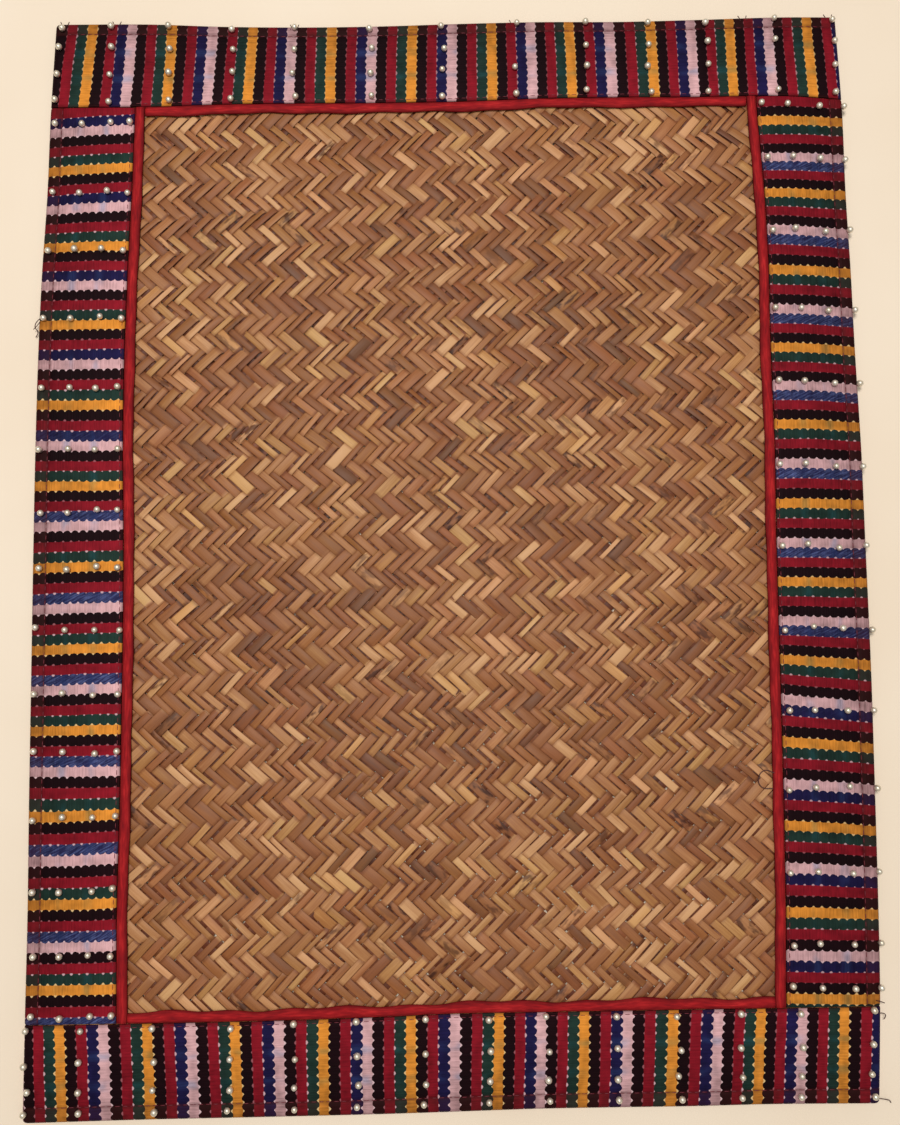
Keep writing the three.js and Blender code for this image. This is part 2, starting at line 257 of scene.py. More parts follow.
def weaveStrips(name, family, crossed, floatStart, seed):
    # One family of strips: tubes of a flat six-point section, rising and dipping with the twill.
    # A place is counted in crossings, "at" across this family and "on" along it.
    own, ownEdges, ownFirst = family
    other, otherEdges, otherFirst = crossed
    chance = np.random.default_rng(seed)
    acrossSection = np.array([-1, -0.82, 0.82, 1, 0.8, -0.8, -1])
    upSection = np.array([0.2, 0.5, 0.5, 0.2, -0.5, -0.5, 0.2])
    # over three crossings, then under three
    ringAt = np.array([-0.5, -0.2, 1.0, 2.2, 2.5, 2.8, 4.0, 5.2])
    ringHeight = np.array([0, 0.85, 1.05, 0.85, 0, -0.85, -1.05, -0.85])
    strips = len(ownEdges) - 1
    repeats = (len(otherEdges) - 1) // 6 - 1
    mesh, column, row = makeGrid(name, strips * len(acrossSection), repeats * len(ringAt))
    strip = column // len(acrossSection)
    point = column % len(acrossSection)
    ring = row % len(ringAt)
    index = strip + ownFirst
    first = otherFirst + (index + floatStart - otherFirst) % 6
    crossing = first + 6 * (row // len(ringAt)) + ringAt[ring]
    thisFloat = (strip, 2 * (row // len(ringAt)) + (ring >= 4))

    eachFloat = (strips, 2 * repeats + 2)
    fill = chance.uniform(*cane["fill"], strips)
    fillOf = 1.02 - 0.3 * chance.random(eachFloat) ** 2.2
    rollOf = chance.normal(0, 0.09, eachFloat)
    liftOf = chance.normal(1.0, 0.12, eachFloat)
    stripSpread, floatSpread = cane["toneSpread"]
    toneOf = chance.uniform(-stripSpread, stripSpread, strips)
    floatToneOf = chance.normal(0, floatSpread, eachFloat)
    hueOf = chance.uniform(0, 1, eachFloat)
    isStained = chance.random(eachFloat) < cane["stained"]
    stainOf = np.where(isStained, chance.uniform(0.3, 1.0, eachFloat), 0)
    swayOf = chance.uniform(0, 2 * math.pi, strips)

    # the parts that show are a little narrower than their room; those beneath fill it and close the gaps
    upper = fill[strip] * fillOf[strip, 2 * (row // len(ringAt))]
    share = np.where(ring > 4, 0.99, upper)
    width = (ownEdges[strip + 1] - ownEdges[strip]) * share
    middle = (ownEdges[strip + 1] + ownEdges[strip]) / 2
    side = acrossSection[point]
    at = ownFirst - 0.5 + middle + side * width / 2 + 0.06 * np.sin(crossing / 2.9 + swayOf[strip])
    otherStops = np.arange(len(otherEdges)) + otherFirst - 0.5
    on = otherFirst - 0.5 + np.interp(crossing, otherStops, otherEdges)
    x = cane["firstCrossing"][0] + at * own[0] + on * other[0]
    y = cane["firstCrossing"][1] + at * own[1] + on * other[1]
    # the rows wander
    x, y = (
        x + 0.7 * np.sin(y / 21 + 0.6) + 0.4 * np.sin(y / 9 + x / 30),
        y + 0.6 * np.sin(x / 24 + 1.9) + 0.4 * np.sin(x / 11 - y / 34),
    )
    height = ringHeight[ring] * cane["swing"] * liftOf[thisFloat]
    z = cane["middle"] + height + upSection[point] * cane["thickness"]
    z = z + rollOf[thisFloat] * side * width * cane["rollArm"]

    keep = (abs(x) < cane["halfSize"][0] + 9) & (abs(y) < cane["halfSize"][1] + 9)
    stripWidth = math.hypot(*own)
    setUv(mesh, "strip", on * math.hypot(*other), (index * 1.37 + side * width / 2) * stripWidth)
    setValue(mesh, "ownTone", toneOf[strip] + floatToneOf[thisFloat])
    setValue(mesh, "hue", hueOf[thisFloat])
    setValue(mesh, "stain", stainOf[thisFloat])
    # painted shade along the edges and at the crossings, and painted shade with dust where a strip lies
    # beneath the others
    paintedShadeAndDust = np.where(abs(ringHeight[ring]) < 0.1, 0.4, 0.0)
    paintedShadeAndDust = np.where(abs(side) > 0.9, 0.55, paintedShadeAndDust)
    paintedShadeAndDust = np.where((ring > 4) & (upSection[point] > 0.3), 0.9, paintedShadeAndDust)
    setValue(mesh, "edge", paintedShadeAndDust)
    setPoints(mesh, x, y, z, scale=1.0)

    shape = bmesh.new()
    shape.from_mesh(mesh)
    shape.verts.ensure_lookup_table()
    between = [f for f in shape.faces if len({strip[v.index] for v in f.verts}) > 1]
    bmesh.ops.delete(shape, geom=between, context="FACES_ONLY")
    bmesh.ops.delete(shape, geom=[v for v in shape.verts if not keep[v.index]], context="VERTS")
    bmesh.ops.remove_doubles(shape, verts=shape.verts, dist=0.001)
    for normal, reach in (((1, 0, 0), 0), ((-1, 0, 0), 0), ((0, 1, 0), 1), ((0, -1, 0), 1)):
        edge = Vector(normal) * cane["halfSize"][reach]
        everything = shape.verts[:] + shape.edges[:] + shape.faces[:]
        bmesh.ops.bisect_plane(
            shape, geom=everything, dist=1e-4, plane_co=edge, plane_no=normal, clear_outer=True
        )
    bmesh.ops.holes_fill(shape, edges=[e for e in shape.edges if e.is_boundary], sides=16)
    bmesh.ops.recalc_face_normals(shape, faces=shape.faces)
    for face in shape.faces:
        face.smooth = True
    shape.to_mesh(mesh)
    shape.free()
    warpMesh(mesh)
    mesh.set_sharp_from_angle(angle=math.radians(42))
    return mesh


def readPoints(mesh):
    points = np.empty(len(mesh.vertices) * 3)
    mesh.vertices.foreach_get("co", points)
    return points.reshape(-1, 3)


def makeGrid(name, columns, rows):
    # a flat grid of points, with each point's column and row
    shape = bmesh.new()
    bmesh.ops.create_grid(shape, x_segments=columns - 1, y_segments=rows - 1, size=1.0)
    mesh = bpy.data.meshes.new(name)
    shape.to_mesh(mesh)
    shape.free()
    points = readPoints(mesh)
    column = np.rint((points[:, 0] + 1) / 2 * (columns - 1)).astype(int)
    row = np.rint((points[:, 1] + 1) / 2 * (rows - 1)).astype(int)
    return mesh, column, row


def setPoints(mesh, x, y, z, scale=mm):
    mesh.vertices.foreach_set("co", (np.column_stack([x, y, z]) * scale).ravel())
    mesh.update()


def setUv(mesh, name, u, v):
    corners = np.empty(len(mesh.loops), dtype=np.int32)
    mesh.loops.foreach_get("vertex_index", corners)
    layer = mesh.uv_layers.new(name=name)
    layer.data.foreach_set("uv", np.column_stack([u, v])[corners].ravel())


def setValue(mesh, name, values):
    mesh.attributes.new(name, "FLOAT", "POINT").data.foreach_set("value", values.astype(float))


def warpMesh(mesh):
    # from the true rectangle in millimetres to the uneven mat in metres
    x, y, z = readPoints(mesh).T
    x, y = uneven(x, y)
    setPoints(mesh, x, y, z)


def addPiece(name, mesh, material, node=None):
    piece = bpy.data.objects.new(name, mesh)
    bpy.context.collection.objects.link(piece)
    mesh.materials.append(material)
    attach(piece, "root")
    if node:
        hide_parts(node)
    return piece


chance = np.random.default_rng(cane["seeds"][0])
# each family's step from strip to strip, where its strips start, and its first strip
rising, falling = [
    (cane[step], stripEdges(chance, 2 * cane["reach"]), middle - cane["reach"])
    for step, middle in zip(("falling", "rising"), cane["middleAt"])
]
caneMaterial = splitCane()
risingMesh = weaveStrips("caneRising", rising, falling, 0, cane["seeds"][1])
fallingMesh = weaveStrips("caneFalling", falling, rising, 1, cane["seeds"][2])
caneRising = addPiece("caneRising", risingMesh, caneMaterial, "cane_panel")
caneFalling = addPiece("caneFalling", fallingMesh, caneMaterial, "cane_panel")
print("cane woven:", len(risingMesh.polygons), len(fallingMesh.polygons))

# The striped bands: each is one cloth, turned in at the seam, laid outwards, folded round the edge and hemmed
stripes = {
    "order": ("black", "red", "green", "amber", "black", "red", "navy", "pink"),
    "colours": {
        "black": "#170409",
        "red": "#801321",
        "green": "#1d312b",
        "amber": "#d68832",
        "navy": "#1a153e",
        "pink": "#cda1a5",
    },
    "marks": {"rose": "#d6b2ba", "dimRose": "#9a5c64", "cream": "#eac88f", "palePink": "#e6c5ca"},
    "markPitch": {"top": 2.72, "bottom": 3.03, "left": 3.0, "right": 3.1},  # where the threads are bound
    "markSize": {"top": (0.26, 0.7), "bottom": (0.3, 0.6), "left": (0.32, 0.44), "right": (0.28, 0.46)},
    "markStrength": {"top": 0.45, "bottom": 0.9, "left": 0.9, "right": 0.65},
    "teeth": {"top": 0.17, "bottom": 0.4, "left": 0.3, "right": 0.28},  # how far pale edges reach out
    "shallowTeeth": 0.13,  # the same between two dark stripes
    "ragged": 0.56,  # how far the stripes' edges stray, from side to side
    "denim": ("#26264c", "#5c699b"),
    "denimFrom": {"left": (60, -1), "right": (-75, 1)},  # where the navy starts to fade, and which way along
    "denimBlend": 50,
    "denimStrength": 0.85,
    "blueLines": {"at": (0.37, 0.68), "reach": (0.5, 2.4)},
    "blueLineColours": {"amber": "#a07c40", "pink": "#9f97ad", "navy": "#25305c", "green": "#1c4042"},
    "threadPitch": 0.62,
    "hemDull": 0.2,
    "hemTint": "#4b1e18",
    "valleyShadeColour": "#35100f",
    # painted sheen towards the seam, then each side's painted light and shade
    "seamSheen": {"top": 0.36, "bottom": 0.4, "left": 0.46, "right": 0.24},
    "level": {"top": 0.0, "bottom": 0.0, "left": 0.04, "right": -0.12},
}
bands = {
    "top": {"span": (-165, 165), "period": 33.59, "amberAt": -149.15, "runs": 1, "within": (0.9, 400)},
    "bottom": {"span": (-165, 165), "period": 33.74, "amberAt": -151.0, "runs": 1, "within": (-400, 400)},
    "left": {"span": (-182.4, 183.5), "period": 32.67, "amberAt": 157.09, "runs": -1, "within": (-11.6, 400)},
    "right": {"span": (-182.4, 183.5), "period": 31.99, "amberAt": 172.76, "runs": 1, "within": (-400, 23.3)},
}
# How far the stripes stand off an even spacing, at places along the side, in each half of the band's width
stripeDrift = {
    "top": {
        "at": (-165, -146, -117, -87, -57, -27, 3, 33, 63, 93, 123, 143, 165),
        "outer": (0.3, -0.1, -0.2, -0.4, -0.1, -0.5, -0.6, -0.2, 0.4, -0.6, -0.2, 0.5, 1.0),
        "inner": (1.6, 1.3, 0.9, 0.7, 0.3, 0.0, -0.2, -0.5, -0.2, -1.4, -0.8, -0.1, 0.7),
    },
    "bottom": {
        "at": (-162, -148, -121, -94, -66, -39, -12, 16, 43, 71, 98, 126, 139, 152),
        "outer": (-1.6, -0.9, -0.6, -0.6, -0.1, 0.0, 0.0, 0.3, 1.1, 1.4, 0.5, 1.2, 1.6, 2.1),
        "inner": (-0.6, 0.1, 0.4, 0.3, 0.3, 0.0, 0.1, -0.2, 0.4, 0.4, -0.9, -0.3, 0.6, 1.8),
    },
    "left": {
        "at": (-171, -155, -139, -108, -92, -59, -26, 7, 41, 75, 110, 145, 163),
        "outer": (0.0, -0.5, -0.8, -0.3, 0.9, -0.2, -1.1, -1.0, -1.0, -0.4, -0.3, -0.8, -0.7),
        "inner": (0.1, -0.2, -0.6, 0.1, 0.7, 0.1, -0.7, -0.6, -1.2, -0.4, -0.3, 0.1, 0.4),
    },
    "right": {
        "at": (-159, -143, -127, -95, -63, -30, 4, 38, 73, 90, 108, 125, 143, 161),
        "outer": (0.4, 0.4, 0.2, 0.5, 0.2, -0.5, 0.0, 0.0, 0.6, 0.7, 0.1, -0.7, -1.0, -0.5),
        "inner": (0.1, -0.3, -0.9, -0.8, -1.4, -0.8, 0.1, -0.2, 0.1, 0.1, -0.3, -1.2, -1.0, -0.1),
    },
}
clothShape = {
    "thickness": 0.38,
    "seamTurn": 0.5,  # radius of the turned-in edge
    "tuck": 4.5,
    "crown": 0.2,
    "pillow": 0.09,  # each stripe's own crown
    "hemDip": 0.38,
    "underDip": 0.34,  # on the underside, where its stitches lie
    "seamDip": 0.24,
    "stitchPitch": 2.9,
    "alongStep": 1.0,
}
pearls = {
    "diameter": 2.7,
    "seat": 0.86,  # how high the middle lies over the cloth, in radii
    "dent": 0.16,
    "astray": (0.8, 0.7),
    "lost": {"top": (29, 46)},  # counted along the side, four to a row
    "top": {
        "along": (-162.0, -140.3, -116.1, -89.9, -63.7, -31.5, -1.3, 29.4, 59.1, 85.2, 109.9, 138.4, 162.3),
        "across": (2.0, 11.2, 21.5, 32.0),
    },
    "bottom": {
        "along": (
            -163.3, -143.1, -115.2, -86.4, -60.7, -37.0, -10.7, 14.0, 36.7, 63.5, 87.7, 111.4, 134.9, 161.6
        ),
        "across": (3.6, 11.6, 21.9, 34.0),
    },
    "left": {
        "along": (
            176.3, 146.9, 122.5, 94.1, 65.2, 39.7, 15.3,
            -7.6, -31.6, -57.0, -79.4, -104.9, -132.3, -157.2, -179.1,
        ),
        "across": (2.9, 13.5, 25.0, 33.4),
    },
    "right": {
        "along": (180.1, 157.1, 126.2, 92.8, 62.4, 28.6, -4.3, -37.2, -69.1, -99.4, -131.8, -158.7, -174.7),
        "across": (0.2, 10.7, 22.7, 32.8),
    },
}


def pearlPlaces(side):
    # rows of four, each sewn on by eye
    chance = random.Random("pearls " + side)
    places = []
    for along in pearls[side]["along"]:
        for across in pearls[side]["across"]:
            astray = [chance.uniform(-most, most) for most in pearls["astray"]]
            places.append((along + astray[0], across + astray[1]))
    lost = pearls["lost"].get(side, ())
    return [place for k, place in enumerate(places) if k not in lost]


def clothTop(side, along, across):
    # height of the upper face: crowned, drawn in at both rows of stitches and under each pearl
    width = mat["bands"][side]
    seamStitch = width - mat["seamStitchAt"]
    hemStitch = mat["hemStitchAt"][side]
    u = np.clip((across - hemStitch) / (seamStitch - hemStitch), 0, 1)
    pull = 0.72 + 0.28 * np.cos(2 * math.pi * along / clothShape["stitchPitch"])
    hemDip = clothShape["hemDip"] * pull * np.exp(-(((across - hemStitch) / 0.8) ** 2))
    seamDip = clothShape["seamDip"] * pull * np.exp(-(((across - seamStitch) / 0.55) ** 2))
    ripple = 0.07 * np.sin(along / 3.7 + 2.0 * np.sin(along / 19)) * np.sin(across / 5.1 + along / 31)
    ripple = ripple + 0.06 * np.sin(along / 11 - across / 7)
    height = mat["top"] + clothShape["crown"] * np.sin(math.pi * u) + ripple - hemDip - seamDip
    for pearlAlong, pearlAcross in pearlPlaces(side):
        away = (along - pearlAlong) ** 2 + (across - pearlAcross) ** 2
        height = height - pearls["dent"] * np.exp(-away / 2.2)
    return height


def stripeAt(side, along, across):
    # place in the stripes' order, in millimetres from its start
    band = bands[side]
    spot = band["runs"] * along - (band["runs"] * band["amberAt"] - 3.5 * band["period"] / 8)
    outer = curveThrough(stripeDrift[side], "outer", along)
    inner = curveThrough(stripeDrift[side], "inner", along)
    depth = np.clip(across / mat["bands"][side], 0, 1)
    spot = spot + outer + (inner - outer) * (depth - 0.25) * 2
    spot = spot + 0.1 * np.sin(across / 6.4 + along / 27) + 0.05 * np.sin(across / 2.9 + along / 9)
    # three of the bands start cleanly within a stripe
    return np.clip(spot, *band["within"])


def underSteps(side):
    # steps inwards along the turned-under hem, closer where its stitches draw it in
    stitch = mat["hemStitchAt"][side] - mat["foldRadius"]
    return np.append(stitch + np.array([-1.1, -0.5, 0, 0.5, 1.1]), mat["hem"] - mat["foldRadius"])


def bandRows(side):
    # along the cloth's own width, from the turned-in seam over the top, 0 where the fold starts, then under
    radius = mat["foldRadius"]
    width = mat["bands"][side]
    flat = width - clothShape["seamTurn"] - radius
    turn = math.pi * clothShape["seamTurn"]
    hemAt = mat["hemStitchAt"][side] - radius
    seamAt = width - mat["seamStitchAt"] - radius
    middle = np.linspace(hemAt + 1.8, seamAt - 1.6, 24)
    rows = [
        -math.pi * radius - underSteps(side)[::-1],
        -np.linspace(math.pi * radius, 0, 11)[:-1],
        [0.0],
        hemAt + np.array([-1.5, -0.9, -0.45, 0, 0.45, 0.9]),
        middle,
        seamAt + np.array([-1.0, -0.5, 0, 0.35]),
        flat + turn * np.linspace(0, 1, 7),
        flat + turn + clothShape["tuck"] * np.array([0.5, 1.0]),
    ]
    return np.concatenate(rows), flat, turn


def underDip(side, back, angle):
    stitch = mat["hemStitchAt"][side] - mat["foldRadius"]
    return np.where(angle >= math.pi, clothShape["underDip"] * np.exp(-(((back - stitch) / 0.55) ** 2)), 0)


def bandCloth(side):
    band = bands[side]
    radius = mat["foldRadius"]
    wrapped = side in ("top", "bottom")
    rows, flat, turn = bandRows(side)
    low, high = band["span"]
    if wrapped:
        end = np.concatenate([np.linspace(0, math.pi * radius, 11)[1:], math.pi * radius + underSteps(side)])
        steps = round((high - low - 2 * radius) / clothShape["alongStep"])
        inner = np.linspace(low + radius, high - radius, steps)
        columns = np.concatenate([(inner[0] - end)[::-1], inner, inner[-1] + end])
    else:
        turnEnd = math.pi * clothShape["seamTurn"] * np.linspace(0, 1, 6)[1:]
        inset = clothShape["seamTurn"]
        inner = np.linspace(low + inset, high - inset, round((high - low) / clothShape["alongStep"]))
        columns = np.concatenate([(inner[0] - turnEnd)[::-1], inner, inner[-1] + turnEnd])
    mesh, column, row = makeGrid("band" + side.capitalize(), len(columns), len(rows))
    turned = -1 if side in ("left", "top") else 1
    along = columns[column if turned > 0 else len(columns) - 1 - column]
    across = rows[row]

    # the seam's turned-in edge and the top, with no fold yet
    placeAcross = np.minimum(across, flat) + radius
    edgeTurn = np.clip((across - flat) / clothShape["seamTurn"], 0, math.pi)
    tuck = np.maximum(across - flat - turn, 0)
    placeAcross = placeAcross + clothShape["seamTurn"] * np.sin(edgeTurn) - tuck
    placeAlong = np.clip(along, inner[0], inner[-1])
    top = clothTop(side, placeAlong, placeAcross)
    stripe = stripeAt(side, along, placeAcross)
    pillow = clothShape["pillow"] * (np.abs(np.sin(math.pi * stripe / (band["period"] / 8))) ** 0.6 - 0.7)
    fade = np.clip(across / 2.0, 0, 1) * np.clip(1 - np.abs(along - placeAlong) / 2.0, 0, 1)
    top = mat["top"] + (top + pillow - mat["top"]) * fade
    height = top - clothShape["seamTurn"] * (1 - np.cos(edgeTurn))

    # round the outer edge and, on the long bands, round their ends
    pastEdge = np.maximum(-across, 0)
    pastEnd = np.abs(along - placeAlong)
    if wrapped:
        way = np.hypot(pastEdge, pastEnd)
        corner = (pastEdge > 0) & (pastEnd > 0)
        arc = math.pi * radius
        way = np.where(corner, np.minimum(way, arc), way)
        back = np.maximum(way - arc, 0)
        back = np.where(pastEnd > 0, np.minimum(back, np.maximum(across, 0)), back)
        room = halfWidth - radius - np.abs(placeAlong)
        back = np.where(pastEdge > 0, np.minimum(back, room), back)
        angle = np.minimum(way / radius, math.pi)
        lever = np.where(across >= 0, height - radius, radius)
        out = lever * np.sin(angle) - back
        height = radius + lever * np.cos(angle) + underDip(side, back, angle)
        share = np.maximum(way, 1e-9)
        placeAcross = np.where(across >= 0, placeAcross, radius - out * pastEdge / share)
        placeAlong = placeAlong + np.sign(along) * np.where(pastEnd > 0, out * pastEnd / share, 0)
    else:
        angle = np.minimum(pastEdge / radius, math.pi)
        back = np.maximum(pastEdge - math.pi * radius, 0)
        endTurn = np.clip(pastEnd / clothShape["seamTurn"], 0, math.pi)
        sink = clothShape["seamTurn"] * (1 - np.cos(endTurn))
        lever = np.where(across >= 0, height - radius, radius) - sink
        out = lever * np.sin(angle) - back
        height = radius + lever * np.cos(angle) + underDip(side, back, angle)
        placeAcross = np.where(across >= 0, placeAcross, radius - out)
        placeAlong = placeAlong + np.sign(along - placeAlong) * clothShape["seamTurn"] * np.sin(endTurn)

    x, y = onSide(side, placeAlong, placeAcross)
    x, y = uneven(x, y)
    setUv(mesh, "cloth", stripe, across + radius)
    fromStitch = across + radius - mat["hemStitchAt"][side]
    fromSeam = mat["bands"][side] - 0.2 - across - radius
    # painted shade in the valleys of the hem and seam stitches, and round the outer fold
    valley = 0.5 * np.exp(-((fromStitch / 0.5) ** 2)) + 0.4 * np.exp(-((np.maximum(fromSeam, 0) / 0.7) ** 2))
    setValue(mesh, "valley", valley + 0.4 * np.sin(angle) ** 2)
    # 1 on the hem side of the stitches
    setValue(mesh, "beyondHem", np.clip((mat["hemStitchAt"][side] - radius - across) / 0.8 + 0.5, 0, 1))
    start, way = stripes["denimFrom"].get(side, (0, 0))
    setValue(mesh, "denim", np.clip(way * (along - start) / stripes["denimBlend"], 0, 1))
    setPoints(mesh, x, y, height)
    shape = bmesh.new()
    shape.from_mesh(mesh)
    bmesh.ops.remove_doubles(shape, verts=shape.verts, dist=0.02 * mm)
    shape.to_mesh(mesh)
    shape.free()
    mesh.shade_smooth()
    return mesh


def handloomCloth(side):
    # handloomed cotton: floats of satin thread across every stripe, bound in a row of pale marks at its edges
    band = bands[side]
    material, add = newMaterial("handloomCotton" + side.capitalize())
    stripe = band["period"] / 8
    markPitch = stripes["markPitch"][side]
    uv = add("UVMap", {"uv_map": "cloth"})
    names = ("denim", "beyondHem", "valley")
    denim, beyond, valley = [(add("Attribute", {"attribute_name": name}), "Fac") for name in names]
    drawnOut = []  # cloudy noises of a length and a width in millimetres
    for length, width, detail in ((4, 1.3, 2), (9, 5, 1), (7, stripes["threadPitch"], 2), (3.6, 7, 1)):
        space = add("Mapping", {}, {0: uv, "Scale": (1 / length, 1 / width, 1)})
        drawnOut.append(add("TexNoise", {}, {"Vector": space, "Scale": 1.0, "Detail": detail}))
    jitter, patch, thread, dull = drawnOut
    split = add("SeparateXYZ", {}, [uv])
    across = (split, "X")  # across the stripes, millimetres
    along = (split, "Y")
    # At each mark an edge reaches out in a pointed tooth, with rounded scallops between. The teeth point out
    # of the pale stripes, which are every fourth, and are shallow between two dark ones.
    turn = add("Math", "MULTIPLY", [along, math.pi / markPitch])
    scallop = add("Math", "SINE", [turn])
    scallop = add("Math", "ABSOLUTE", [scallop])
    scallop = add("Math", "MULTIPLY_ADD", [scallop, -2.0, 1.0])
    pair = add("Math", "MULTIPLY", [across, math.pi / stripe])
    pair = add("Math", "COSINE", [pair])
    four = add("Math", "MULTIPLY_ADD", [across, math.pi / (2 * stripe), -math.pi / 4])
    four = add("Math", "SINE", [four])
    deep, shallow = stripes["teeth"][side], stripes["shallowTeeth"]
    edgeSine = 0.7  # of the slower wave at a stripe's edge
    slope = (shallow - deep) / (2 * edgeSine)
    depth = add("Math", "MULTIPLY_ADD", [four, slope, (deep + shallow) / 2])
    depth = add("Math", "MULTIPLY", [pair, depth])
    bow = add("Math", "MULTIPLY", [scallop, depth])
    bowed = add("Math", "SUBTRACT", [across, bow])
    ragged = stripes["ragged"]
    bowed = add("Math", "MULTIPLY_ADD", [jitter, ragged, bowed])
    bowed = add("Math", "SUBTRACT", [bowed, ragged / 2])
    order = add("Math", "DIVIDE", [bowed, band["period"]])
    order = add("Math", "FRACT", [order])
    stops = [(k / 8, stripes["colours"][name]) for k, name in enumerate(stripes["order"])]
    colour = add("ValToRGB", {"between": "CONSTANT", "stops": stops}, [order])

    # navy fades to denim part of the way along
    isNavy = add("Math", "COMPARE", [order, 6.5 / 8, 0.5 / 8])
    isDenim = add("Math", "MULTIPLY", [isNavy, denim])
    isDenim = add("Math", "MULTIPLY", [isDenim, stripes["denimStrength"]])
    slanted = {0: uv, "Rotation": (0, 0, math.radians(-62)), "Scale": (4.5, 0.55, 1)}
    slantSpace = add("Mapping", {"vector_type": "TEXTURE"}, slanted)
    slant = add("TexNoise", {}, {"Vector": slantSpace, "Scale": 1.0, "Detail": 2.0})
    stops = [(0.42, stripes["denim"][0]), (0.78, stripes["denim"][1])]
    streaked = add("ValToRGB", {"stops": stops}, [slant])
    colour = add("MixRGB", {}, [isDenim, colour, streaked])

    # two bluish threads along the band, which show in the pale stripes and here and there only
    blues = [stripes["blueLineColours"].get(name, stripes["colours"][name]) for name in stripes["order"]]
    stops = [(k / 8, blue) for k, blue in enumerate(blues)]
    blue = add("ValToRGB", {"between": "CONSTANT", "stops": stops}, [order])
    patch = add("MapRange", {}, [patch, 0.4, 0.6, 0.1, 0.75])
    for share in stripes["blueLines"]["at"]:
        line = add("Math", "SUBTRACT", [along, share * mat["bands"][side]])
        line = add("Math", "ABSOLUTE", [line])
        near, far = stripes["blueLines"]["reach"]
        line = add("MapRange", {}, [line, near, far, 1.0, 0.0])
        line = add("Math", "MULTIPLY", [line, patch])
        colour = add("MixRGB", {}, [line, colour, blue])

    # threads run across each stripe; they differ in tone and stand in fine ridges
    shade = add("MapRange", {}, [thread, 0.3, 0.7, 0.8, 1.16])
    place = add("TexCoord")
    unevenTone = add("TexNoise", {}, {"Vector": (place, "Object"), "Scale": 1 / (40 * mm), "Detail": 3.0})
    shade = add("Math", "MULTIPLY_ADD", [unevenTone, 0.3, shade])
    shade = add("Math", "MULTIPLY_ADD", [dull, 0.8, shade])
    # painted sheen, brighter towards the seam; each side's level is painted light and shade, the right band
    # darker
    rise = stripes["seamSheen"][side] / 2
    level = stripes["level"][side] - 0.55
    paintedSeamSheen = add("MapRange", {}, [along, 5.0, 36.0, level - rise, level + rise])
    shade = add("Math", "ADD", [shade, paintedSeamSheen])
    colour = add("VectorMath", "SCALE", {0: colour, "Scale": shade})
    # the folded edge is duller and a little red; painted shade darkens the valleys of its stitches and seam,
    # and the round of the fold
    beyond = add("Math", "MULTIPLY", [beyond, stripes["hemDull"]])
    colour = add("MixRGB", {}, [beyond, colour, linear(stripes["hemTint"])])
    colour = add("MixRGB", {}, [valley, colour, linear(stripes["valleyShadeColour"])])

    # the marks, at the tips of the teeth
    step = add("Math", "DIVIDE", [across, stripe])
    nearEdge = add("Math", "ROUND", [step])
    fromEdge = add("Math", "SUBTRACT", [step, nearEdge])
    fromEdge = add("Math", "MULTIPLY", [fromEdge, stripe])
    fromEdge = add("Math", "SUBTRACT", [fromEdge, bow])
    fromEdge = add("Math", "DIVIDE", [fromEdge, stripes["markSize"][side][0]])
    count = add("Math", "DIVIDE", [along, markPitch])
    nearMark = add("Math", "ROUND", [count])
    fromMark = add("Math", "SUBTRACT", [count, nearMark])
    fromMark = add("Math", "MULTIPLY", [fromMark, markPitch / stripes["markSize"][side][1]])
    spot = add("CombineXYZ", {}, [fromEdge, fromMark])
    spot = add("VectorMath", "LENGTH", [spot])
    which = add("CombineXYZ", {}, [nearEdge, nearMark])
    luck = add("TexWhiteNoise", {"noise_dimensions": "2D"}, {"Vector": which})
    size = add("MapRange", {}, [luck, 0, 1, 0.5, 1.25])
    spot = add("Math", "DIVIDE", [(spot, "Value"), size])
    strength = stripes["markStrength"][side]
    isMark = add("MapRange", {"interpolation_type": "SMOOTHSTEP"}, [spot, 0.6, 1.4, strength, 0.0])
    edgeOrder = add("Math", "MULTIPLY_ADD", [nearEdge, 1 / 8, 0.5 / 8])
    edgeOrder = add("Math", "FRACT", [edgeOrder])
    edgeMarks = ("palePink", "dimRose", "rose", "cream", "cream", "dimRose", "rose", "palePink")
    stops = [(k / 8, stripes["marks"][name]) for k, name in enumerate(edgeMarks)]
    markColour = add("ValToRGB", {"between": "CONSTANT", "stops": stops}, [edgeOrder])
    colour = add("MixRGB", {}, [isMark, colour, markColour])

    relief = add("Bump", {}, {"Strength": 0.7, "Distance": 0.16 * mm, "Height": thread})
    relief = add("Bump", {}, {"Strength": 0.6, "Distance": 0.12 * mm, "Height": isMark, "Normal": relief})
    surface = {"Base Color": colour, "Roughness": 0.6, "Specular IOR Level": 0.06, "Normal": relief}
    return finished(material, add, surface)


def addThickness(piece, thickness):
    # the wall goes inwards from the modelled face
    solid = piece.modifiers.new("thickness", "SOLIDIFY")
    solid.thickness = thickness * mm
    solid.offset = -1
    solid.use_rim = True


for side in bands:
    mesh = bandCloth(side)
    name = "band" + side.capitalize() + "Cloth"
    piece = addPiece(name, mesh, handloomCloth(side), "band_" + side)
    addThickness(piece, clothShape["thickness"])
    cut = bands[side]["span"][1] - bands[side]["span"][0]
    if side in ("top", "bottom"):
        cut += 2 * (math.pi * mat["foldRadius"] - mat["foldRadius"] + mat["hem"] - mat["foldRadius"])
    print("band", side, len(mesh.polygons))


# The trims: narrow red cotton strips folded under along both edges
trims = {
    "width": 4.1,
    "gap": 0.15,  # to the band's seam
    "shorter": 4.2,  # how far in from the side bands the level trims end, beside the upright ones
    "edgeRadius": 0.45,
    "under": 2.0,
    "crown": 0.22,
    "thickness": 0.3,
    "waver": {"left": 0.12, "right": 0.12, "top": 0.22, "bottom": 0.38},
    "waverLengths": (61, 23),
    "step": 1.4,
}


